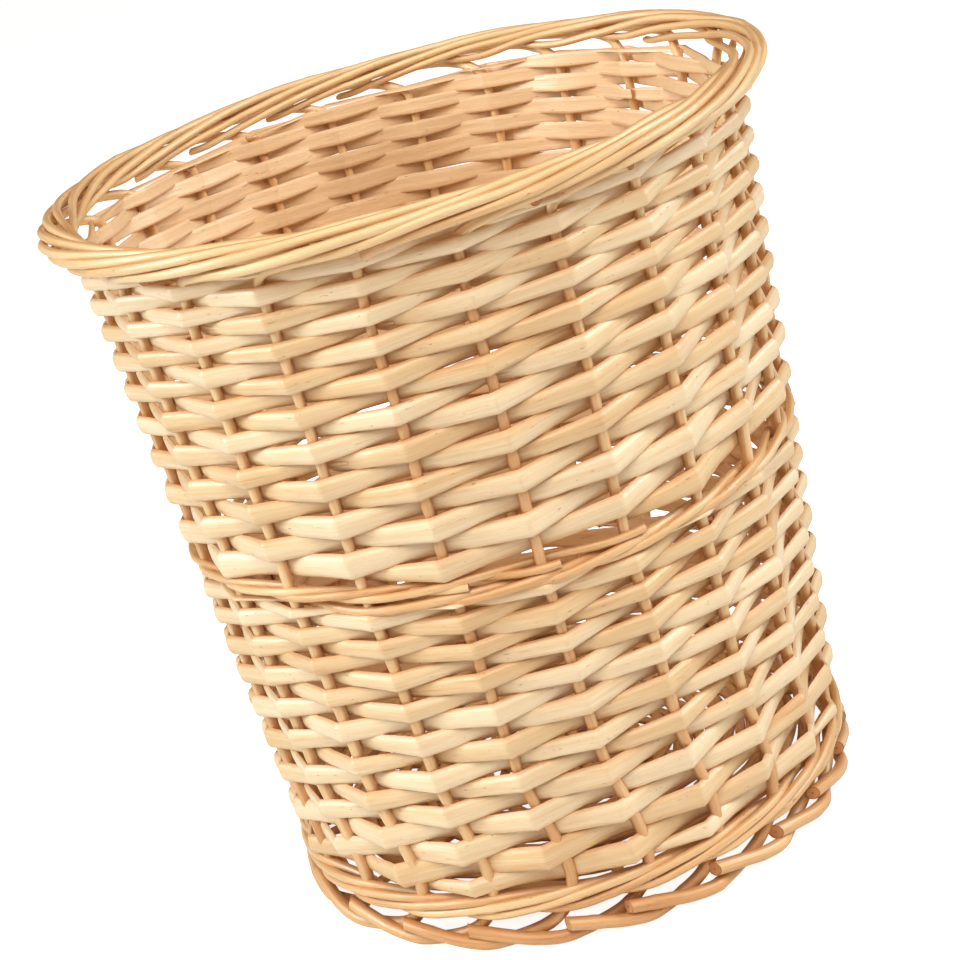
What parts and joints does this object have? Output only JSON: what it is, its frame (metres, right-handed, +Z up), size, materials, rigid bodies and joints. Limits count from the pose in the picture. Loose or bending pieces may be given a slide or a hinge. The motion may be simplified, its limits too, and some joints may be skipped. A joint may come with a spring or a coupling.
{
  "type": "wastebasket",
  "caption": "Round open-topped woven willow wastebasket with flared wall, wale bands, rolled rod border and a rod foot ring.",
  "frame": {"origin": "centre of the underside of the foot ring, on the floor", "axes": "+Z up along the basket's axis towards the open rim; +X to the right and -Y towards the viewer; the wall is round, so X and Y only fix where the first stake stands"},
  "size_m": [0.2892, 0.2891, 0.3037],
  "materials": {
    "stake_willow": "satin, peeled willow rod",
    "weaver_willow": "satin, peeled split willow",
    "wale_willow": "satin, peeled willow rod",
    "base_willow": "matte, peeled willow rod"
  },
  "bodies": {
    "root": {"stake_01": "stake_willow", "stake_02": "stake_willow", "stake_03": "stake_willow", "stake_04": "stake_willow", "stake_05": "stake_willow", "stake_06": "stake_willow", "stake_07": "stake_willow", "stake_08": "stake_willow", "stake_09": "stake_willow", "stake_10": "stake_willow", "stake_11": "stake_willow", "stake_12": "stake_willow", "stake_13": "stake_willow", "stake_14": "stake_willow", "stake_15": "stake_willow", "stake_16": "stake_willow", "stake_17": "stake_willow", "stake_18": "stake_willow", "stake_19": "stake_willow", "stake_20": "stake_willow", "stake_21": "stake_willow", "stake_22": "stake_willow", "stake_23": "stake_willow", "base_wale_01": "wale_willow", "base_wale_02": "wale_willow", "base_wale_03": "wale_willow", "base_wale_04": "wale_willow", "lower_weaver_01": "weaver_willow", "lower_weaver_02": "weaver_willow", "lower_weaver_03": "weaver_willow", "lower_weaver_04": "weaver_willow", "lower_weaver_05": "weaver_willow", "lower_weaver_06": "weaver_willow", "lower_weaver_07": "weaver_willow", "middle_wale_01": "wale_willow", "middle_wale_02": "wale_willow", "middle_wale_03": "wale_willow", "upper_weaver_01": "weaver_willow", "upper_weaver_02": "weaver_willow", "upper_weaver_03": "weaver_willow", "upper_weaver_04": "weaver_willow", "upper_weaver_05": "weaver_willow", "upper_weaver_06": "weaver_willow", "upper_weaver_07": "weaver_willow", "base_stick_01": "base_willow", "base_stick_02": "base_willow", "base_stick_03": "base_willow", "base_stick_04": "base_willow", "base_stick_05": "base_willow", "base_stick_06": "base_willow", "base_weaver_01": "base_willow", "base_weaver_02": "base_willow"}
  },
  "joints": []
}
